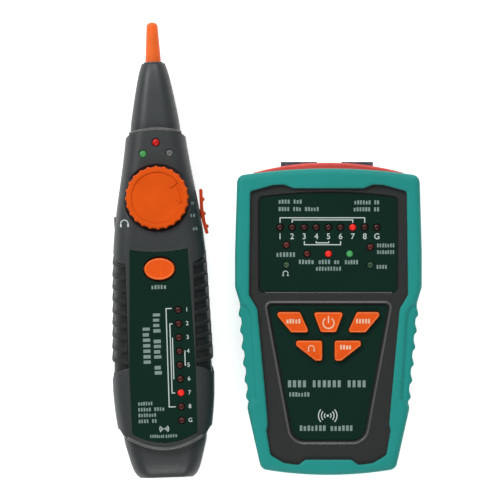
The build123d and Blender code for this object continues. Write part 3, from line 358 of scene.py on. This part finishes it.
class Print:
    """Flat ink shapes on one surface, in a device's own millimetres, made into one mesh."""

    def __init__(self, name, place, z, body, material=None, onto=None):
        self.name, self.place, self.z, self.body = name, place, z, body
        self.material = material or ink
        self.onto = onto
        self.form = bmesh.new()
        self.random = random.Random(name)

    def face(self, points, tone=0):
        corners = [self.form.verts.new((x, y, self.z)) for x, y in points]
        self.form.faces.new(corners).material_index = tone

    def bar(self, x0, y0, x1, y1, tone=0):
        self.face([(x0, y0), (x1, y0), (x1, y1), (x0, y1)], tone)

    def stroke(self, points, width, closed=False):
        """A line of even width with mitred corners."""
        path = [Vector(p) for p in points]
        count = len(path)
        sides = []
        for i, p in enumerate(path):
            before = path[i - 1] if i or closed else None
            after = path[(i + 1) % count] if i < count - 1 or closed else None
            first = (p - before).normalized() if before is not None else (after - p).normalized()
            second = (after - p).normalized() if after is not None else first
            across = Vector((-first.y - second.y, first.x + second.x))
            across.normalize()
            reach = width / 2 / max(MITRE_LIMIT, across.dot(Vector((-first.y, first.x))))
            sides.append((p + across * reach, p - across * reach))
        pairs = list(zip(sides, sides[1:] + (sides[:1] if closed else [])))
        for (a, b), (c, d) in pairs[: count if closed else count - 1]:
            self.face([a, c, d, b])

    def arc(self, x, y, r, start, end, width, steps=18):
        turn = [math.radians(start + (end - start) * k / steps) for k in range(steps + 1)]
        self.stroke([(x + r * math.cos(t), y + r * math.sin(t)) for t in turn], width)

    def dot(self, x, y, r):
        turn = [2 * math.pi * k / 20 for k in range(20)]
        self.face([(x + r * math.cos(t), y + r * math.sin(t)) for t in turn])

    def word(self, x0, x1, y, height, upright=False, slope=0.0):
        """A run of small blocks where a word would be: it fills the word's place and says nothing."""
        step = height * 0.72
        count = max(2, round(abs(x1 - x0) / step))
        step = (x1 - x0) / count
        gap = self.random.randint(4, 8)
        for k in range(count):
            if k == gap and k < count - 2:
                gap += self.random.randint(4, 8)
                continue
            width = step * self.random.uniform(0.55, 0.7)
            tall = height * self.random.choice((1.0, 1.0, 0.86))
            a = x0 + k * step
            rise = slope * (a - x0)
            if upright:
                self.bar(y, a, y + tall, a + width, 1)
            else:
                self.bar(a, y + rise, a + width, y + rise + tall, 1)

    def lay(self):
        """Place the ink, dropping it onto a curved surface where one is named, and let it ride."""
        if self.onto:
            bmesh.ops.subdivide_edges(self.form, edges=self.form.edges, cuts=2, use_grid_fill=True)
        self.form.transform(Matrix.Diagonal((MM, MM, MM, 1)))
        self.form.transform(self.place)
        if self.onto:
            surface = BVHTree.FromObject(nodes[self.onto], bpy.context.evaluated_depsgraph_get())
            for vertex in self.form.verts:
                hit = surface.ray_cast(Vector((vertex.co.x, vertex.co.y, ABOVE)), Vector((0, 0, -1)))[0]
                if hit:
                    vertex.co.z = hit.z + 2 * INK_GAP * MM
        bmesh.ops.recalc_face_normals(self.form, faces=self.form.faces)
        for face in self.form.faces:
            if face.normal.z < 0:
                face.normal_flip()
        mesh = bpy.data.meshes.new(self.name)
        self.form.to_mesh(mesh)
        self.form.free()
        mesh.materials.append(self.material)
        mesh.materials.append(dim_ink if self.material == ink else self.material)
        piece = bpy.data.objects.new(self.name, mesh)
        bpy.context.scene.collection.objects.link(piece)
        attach(piece, self.body)
        return piece


SIZE_PER_HEIGHT = 1.42  # font size for one unit of a figure's height
FIGURE_WEIGHT = 0.03  # millimetres added round a figure's outline


def digits(prefix, place, z, body, marks, height):
    """Plain figures beside the numbered lamps."""
    for text, x, y in marks:
        curve = bpy.data.curves.new(f"{prefix}_{text}", "FONT")
        curve.body = text
        curve.size = height * SIZE_PER_HEIGHT * MM
        curve.align_x = "CENTER"
        curve.align_y = "CENTER"
        curve.offset = FIGURE_WEIGHT * MM
        curve.materials.append(ink)
        piece = bpy.data.objects.new(f"{prefix}_{text}", curve)
        bpy.context.scene.collection.objects.link(piece)
        piece.matrix_world = place @ Matrix.Translation((x * MM, y * MM, z * MM))
        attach(piece, body)


DISPLAY_TOP = 31.0 + INK_GAP
KEYPAD_TOP = 30.6 + INK_GAP
KEY_TOP = 32.4 + INK_GAP
LABEL_TOP = 29.95 + INK_GAP
THIN = 0.42  # width of the printed bracket lines

display = Print("display_print", TRANSMITTER, DISPLAY_TOP, "transmitter")
for x0, x1, y in ((-20.9, -10.8, 49.5), (-20.9, -3.7, 46.4), (10.9, 21.6, 49.2), (10.6, 21.6, 46.3)):
    display.word(x0, x1, y, 1.7)
display.stroke([(-20.3, 41.5), (-20.3, 43.6), (15.2, 43.6), (15.2, 41.5)], THIN)
display.stroke([(-15.2, 41.5), (-15.2, 42.7), (10.2, 42.7), (10.2, 41.5)], THIN)
display.stroke([(-10.1, 33.8), (-10.1, 32.3), (5.1, 32.3), (5.1, 33.8)], THIN)
display.stroke([(-5.1, 33.8), (-5.1, 33.1), (0.1, 33.1), (0.1, 33.8)], THIN)
for x0, x1, y, height in (
    (-21.8, -13.5, 27.2, 1.9), (-12.4, -5.8, 24.2, 1.8), (-4.1, 5.0, 24.2, 1.8), (-5.2, 5.7, 21.4, 1.7),
    (6.9, 12.8, 24.1, 1.8), (20.4, 28.0, 31.2, 1.6), (20.4, 28.0, 28.4, 1.6), (20.2, 24.9, 22.2, 1.6),
):
    display.word(x0, x1, y, height)


def ohm(sheet, x, y, r, width):
    """The ohm sign, an open ring on two feet."""
    sheet.arc(x, y, r, -55, 235, width)
    for side in (-1, 1):
        foot = (x + side * r * math.cos(math.radians(55)), y - r * math.sin(math.radians(55)))
        sheet.stroke([foot, (foot[0] + side * r * 0.75, foot[1])], width)


ohm(display, -18.0, 20.2, 1.05, 0.3)
display.lay()
wire_marks = [(wire, (k - 4) * PITCH, 35.7) for k, wire in enumerate(WIRE_NAMES)]
digits("wire_mark", TRANSMITTER, DISPLAY_TOP, "transmitter", wire_marks, 2.4)

keypad = Print("keypad_print", TRANSMITTER, KEYPAD_TOP, "transmitter")
keypad.word(-17.0, 16.4, -27.5, 2.9)
keypad.word(-16.4, -7.6, -31.4, 1.8)
keypad.word(-12.0, 10.6, -45.8, 2.3)


def waves(sheet, x, y, size, width):
    """A dot with arcs spreading to both sides."""
    sheet.dot(x, y, size * 0.16)
    for r in (0.45, 0.85, 1.25):
        sheet.arc(x, y, size * r, -42, 42, width)
        sheet.arc(x, y, size * r, 138, 222, width)


waves(keypad, -0.3, -39.4, 3.1, THIN)
keypad.lay()

KEY_WORDS = (
    ("scan_key", -17.6, -11.4, -0.7), ("test_key", 11.6, 17.8, -0.7), ("polarity_key", 4.9, 9.8, -11.6),
)
for name, x0, x1, y in KEY_WORDS:
    legend = Print(name + "_print", TRANSMITTER, KEY_TOP, name, key_ink)
    legend.word(x0, x1, y, 1.9)
    legend.lay()
power = Print("power_key_print", TRANSMITTER, KEY_TOP, "power_key", key_ink)
power.arc(0, -0.5, 2.3, -235, 55, 0.55)
power.bar(-0.28, -0.6, 0.28, 2.4)
power.lay()
legend = Print("ohm_key_print", TRANSMITTER, KEY_TOP, "ohm_key", key_ink)
ohm(legend, -7.2, -11.2, 1.25, 0.36)
legend.lay()

label = Print("label_print", PROBE, LABEL_TOP, "probe")
label.word(-3.6, 2.9, -16.6, 1.7)
label.word(-32.6, -48.7, -7.9, 3.0, upright=True)
label.word(-26.8, -53.2, -3.4, 3.0, upright=True)
label.stroke([(4.6, LAMP_Y[0] + 0.7), (2.2, LAMP_Y[0] + 0.7), (2.2, LAMP_Y[7]), (4.9, LAMP_Y[7])], THIN)
label.stroke([(4.7, LAMP_Y[1]), (3.6, LAMP_Y[1]), (3.6, LAMP_Y[6]), (4.9, LAMP_Y[6])], THIN)
label.stroke([(4.5, LAMP_Y[2]), (4.5, LAMP_Y[5])], THIN)
label.stroke([(9.2, LAMP_Y[3]), (9.9, LAMP_Y[3])], THIN)
label.stroke([(9.5, LAMP_Y[3]), (9.5, LAMP_Y[4]), (9.9, LAMP_Y[4])], THIN)
for x1, y in ((-4.4, -65.2), (0.4, -67.7), (-3.1, -70.1), (-2.9, -72.6)):
    label.word(-10.8, x1, y, 1.5)
waves(label, -0.2, -75.3, 1.5, 0.3)
label.word(-6.2, 0.0, -78.9, 1.3, slope=-0.03)
label.word(0.3, 5.4, -79.1, 1.3, slope=0.05)
label.lay()
lamp_marks = [(wire, 10.9, y) for wire, y in zip(WIRE_NAMES, LAMP_Y)]
digits("lamp_mark", PROBE, LABEL_TOP, "probe", lamp_marks, 1.7)

flank = Print("slider_mark_print", PROBE, 31.0, "probe", onto="probe_front_shell")
for x0, x1, y in ((14.3, 15.5, 18.4), (13.7, 16.0, 13.2), (14.6, 16.9, 7.6)):
    flank.word(x0, x1, y, 1.3)
flank.lay()
phones = Print("headphone_print", PROBE, 31.0, "probe", onto="probe_front_shell")
phones.arc(-14.1, 11.2, 1.6, -5, 185, 0.4)
phones.bar(-16.0, 9.9, -15.3, 11.2)
phones.bar(-12.9, 9.9, -12.2, 11.2)
phones.lay()


# ---------------------------------------------------------------- pale rims that paint highlights on edges, and the wheel's pointer
def bead(name, place, paths, radius, body, material, closed=False):
    """Thin round ridges along paths given in a device's millimetres."""
    curve = bpy.data.curves.new(name, "CURVE")
    curve.dimensions = "3D"
    curve.bevel_depth = radius * MM
    curve.bevel_resolution = 3
    curve.use_fill_caps = not closed
    for path in paths:
        spline = curve.splines.new("POLY")
        spline.points.add(len(path) - 1)
        spline.use_cyclic_u = closed
        for point, at in zip(spline.points, path):
            point.co = (*in_frame(place, *at), 1)
    curve.materials.append(material)
    piece = bpy.data.objects.new(name, curve)
    bpy.context.scene.collection.objects.link(piece)
    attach(piece, body)


def rounded(corners, radii, steps=6):
    """The closed path through the corners, each rounded by its own radius."""
    path = []
    count = len(corners)
    for k, radius in enumerate(radii):
        here = Vector(corners[k])
        a = (Vector(corners[k - 1]) - here).normalized()
        b = (Vector(corners[(k + 1) % count]) - here).normalized()
        reach = radius / math.tan(a.angle(b) / 2)
        middle = here + (a + b).normalized() * (radius / math.sin(a.angle(b) / 2))
        start, end = here + a * reach - middle, here + b * reach - middle
        for n in range(steps + 1):
            path.append(middle + start.lerp(end, n / steps).normalized() * radius)
    return path


def shell_top(x, y):
    """Height of the probe's front shell under a point of its own frame."""
    surface = BVHTree.FromObject(nodes["probe_front_shell"], bpy.context.evaluated_depsgraph_get())
    above = PROBE @ Vector((x * MM, y * MM, ABOVE))
    return surface.ray_cast(above, Vector((0, 0, -1)))[0].z / MM


END_RIM = 0.72  # radius of the pale rims that paint highlights at both ends of the probe's front shell
SUNK = 0.38  # how deep their middle lies in the shell


def end_rim(name, crest, rise, half, reach, inward):
    """A rounded rim along a curved end of the probe's front shell, pale as a painted highlight.

    The end crosses the axis at y = crest and has moved by rise at x = half. The rim follows it as far as
    x = reach on both sides and lies the distance inward from it.
    """
    path = []
    for k in range(25):
        x = reach * (k / 12 - 1)
        y = crest + rise * (x / half) ** 2 + inward
        path.append((x, y, shell_top(x, y + inward * 0.6) - SUNK))
    bead(name, PROBE, [path], END_RIM, "probe", highlight_rim_plastic)


end_rim("nose_end_rim", 51.3, -2.4, 12.3, 10.6, -0.55)
end_rim("tail_end_rim", -84.2, 6.4, 17.4, 15.6, 0.55)
# Pale rims round the keypad's recess and along the display's foot: painted highlights.
keypad_corners = [(26.7, 8.3), (15.7, -51.0), (-15.7, -51.0), (-26.7, 8.3)]
keypad_rim = [(*p, 31.3) for p in rounded(keypad_corners, [2.4, 6.5, 6.5, 2.4])]
bead("keypad_rim", TRANSMITTER, [keypad_rim], 0.58, "transmitter", highlight_rim_plastic, True)
display_foot = [(-26.6, 12.2, 31.35), (26.6, 12.2, 31.35)]
bead("display_foot_rim", TRANSMITTER, [display_foot], 0.26, "transmitter", highlight_rim_plastic)
# The keys' outlines, along which pale ridges paint a highlight on their rounded edges.
KEY_CORNERS = {
    "scan_key": [(-21.5, 4.1), (-11.9, 4.1), (-8.0, -4.5), (-15.6, -4.5), (-21.3, 2.3)],
    "power_key": [(-6.4, 4.0), (6.4, 4.0), (3.2, -4.4), (-3.2, -4.4)],
    "test_key": [(21.5, 4.1), (21.3, 2.3), (15.6, -4.5), (8.0, -4.5), (11.9, 4.1)],
    "ohm_key": [(-13.6, -7.9), (-2.6, -7.9), (-2.6, -16.4), (-5.4, -16.4), (-13.6, -10.0)],
    "polarity_key": [(13.6, -7.9), (13.6, -10.0), (5.4, -16.4), (2.6, -16.4), (2.6, -7.9)],
}


def inset(corners, amount):
    """Corners of a polygon drawn in by an amount on every side."""
    moved = []
    count = len(corners)
    area = sum(corners[k - 1][0] * corners[k][1] - corners[k][0] * corners[k - 1][1] for k in range(count))
    hand = 1 if area > 0 else -1
    for k in range(count):
        here = Vector(corners[k])
        a = (here - Vector(corners[k - 1])).normalized()
        b = (Vector(corners[(k + 1) % count]) - here).normalized()
        side = (Vector((-a.y, a.x)) + Vector((-b.y, b.x))).normalized() * hand
        moved.append(here + side * amount / abs(side.dot(Vector((-a.y, a.x)))))
    return moved


for name, corners in KEY_CORNERS.items():
    edge = [(*p, 32.22) for p in rounded(inset(corners, 0.42), [0.6] * len(corners))]
    bead(name + "_edge", TRANSMITTER, [edge], 0.3, name, key_edge, True)
turns = [2 * math.pi * k / 40 for k in range(40)]
# A pale ring on the scan button's edge: a painted highlight.
button_edge = [(5.85 * math.cos(t), -8.2 + 4.05 * math.sin(t), 30.85) for t in turns]
bead("scan_button_edge", PROBE, [button_edge], 0.34, "probe_scan_button", key_edge, True)
# A pale ring round the nose's mouth: a painted highlight.
collar = [(3.75 * math.cos(t), 78.9, 15 + 3.75 * math.sin(t)) for t in turns]
bead("tip_collar", PROBE, [collar], 0.36, "probe", highlight_rim_plastic, True)
WHEEL_Y, WHEEL_TOP = 21.7, 32.12
sweeps = ([(9.6, 34 - 6 * k) for k in range(9)], [(8.0, -8), (9.6, -15), (11.0, -8)])
pointer = [
    [(r * math.cos(math.radians(a)), WHEEL_Y + r * math.sin(math.radians(a)), WHEEL_TOP) for r, a in sweep]
    for sweep in sweeps
]
bead("volume_pointer", PROBE, pointer, 0.32, "volume_knob", knob_plastic)


# ---------------------------------------------------------------- floor, light and camera
def floor_paper():
    """White studio paper, lit from below so that no shadow darkens it."""
    paper = moulded("floor_paper", (246, 246, 246), 0.85, 0.004, 500.0, 0.01, 3.0, 0)
    shader = paper.node_tree.nodes["Principled BSDF"]
    shader.inputs["Emission Color"].default_value = (1, 1, 1, 1)
    shader.inputs["Emission Strength"].default_value = 0.62
    return paper


FLOOR_GAP = 0.0002  # metres between the devices' backs and the paper


def floor():
    """A wide sheet of paper under the devices, which is not part of them."""
    form = bmesh.new()
    bmesh.ops.create_grid(form, x_segments=8, y_segments=8, size=2.5)
    mesh = bpy.data.meshes.new("floor")
    form.to_mesh(mesh)
    form.free()
    mesh.materials.append(floor_paper())
    plane = bpy.data.objects.new("floor", mesh)
    bpy.context.scene.collection.objects.link(plane)
    plane.location.z = -FLOOR_GAP


def softbox(name, place, size, watts, target=(0, 0, 0.02)):
    """A round lamp that points at the target."""
    data = bpy.data.lights.new(name, "AREA")
    data.shape = "DISK"
    data.size = size
    data.energy = watts
    lamp = bpy.data.objects.new(name, data)
    bpy.context.scene.collection.objects.link(lamp)
    lamp.location = place
    lamp.rotation_euler = (Vector(target) - Vector(place)).to_track_quat("-Z", "Y").to_euler()


floor()
softbox("key_light", (-0.75, 0.75, 0.95), 0.5, 9.0)
softbox("far_light", (0.1, 0.95, 0.95), 0.5, 5.5)
softbox("near_light", (0.0, -0.95, 0.95), 0.5, 5.5)
world = bpy.data.worlds.new("studio")
world.use_nodes = True
background = world.node_tree.nodes["Background"]
background.inputs["Color"].default_value = (1, 1, 1, 1)
background.inputs["Strength"].default_value = 0.27
scene = bpy.context.scene
scene.world = world
scene.view_settings.view_transform = "Standard"

# The camera looks straight down. What it sees at the height of the devices' fronts is VIEW_WIDTH wide.
VIEW_WIDTH = 0.210
VIEW_CENTRE = -0.007
FRONT_HEIGHT = 0.028
DISTANCE = 2.0
SENSOR = 36.0
camera_data = bpy.data.cameras.new("camera")
camera_data.sensor_width = SENSOR
camera_data.lens = SENSOR * DISTANCE / VIEW_WIDTH
camera_data.clip_end = 20.0
camera = bpy.data.objects.new("camera", camera_data)
scene.collection.objects.link(camera)
camera.location = (VIEW_CENTRE, 0.0, DISTANCE + FRONT_HEIGHT)
scene.camera = camera
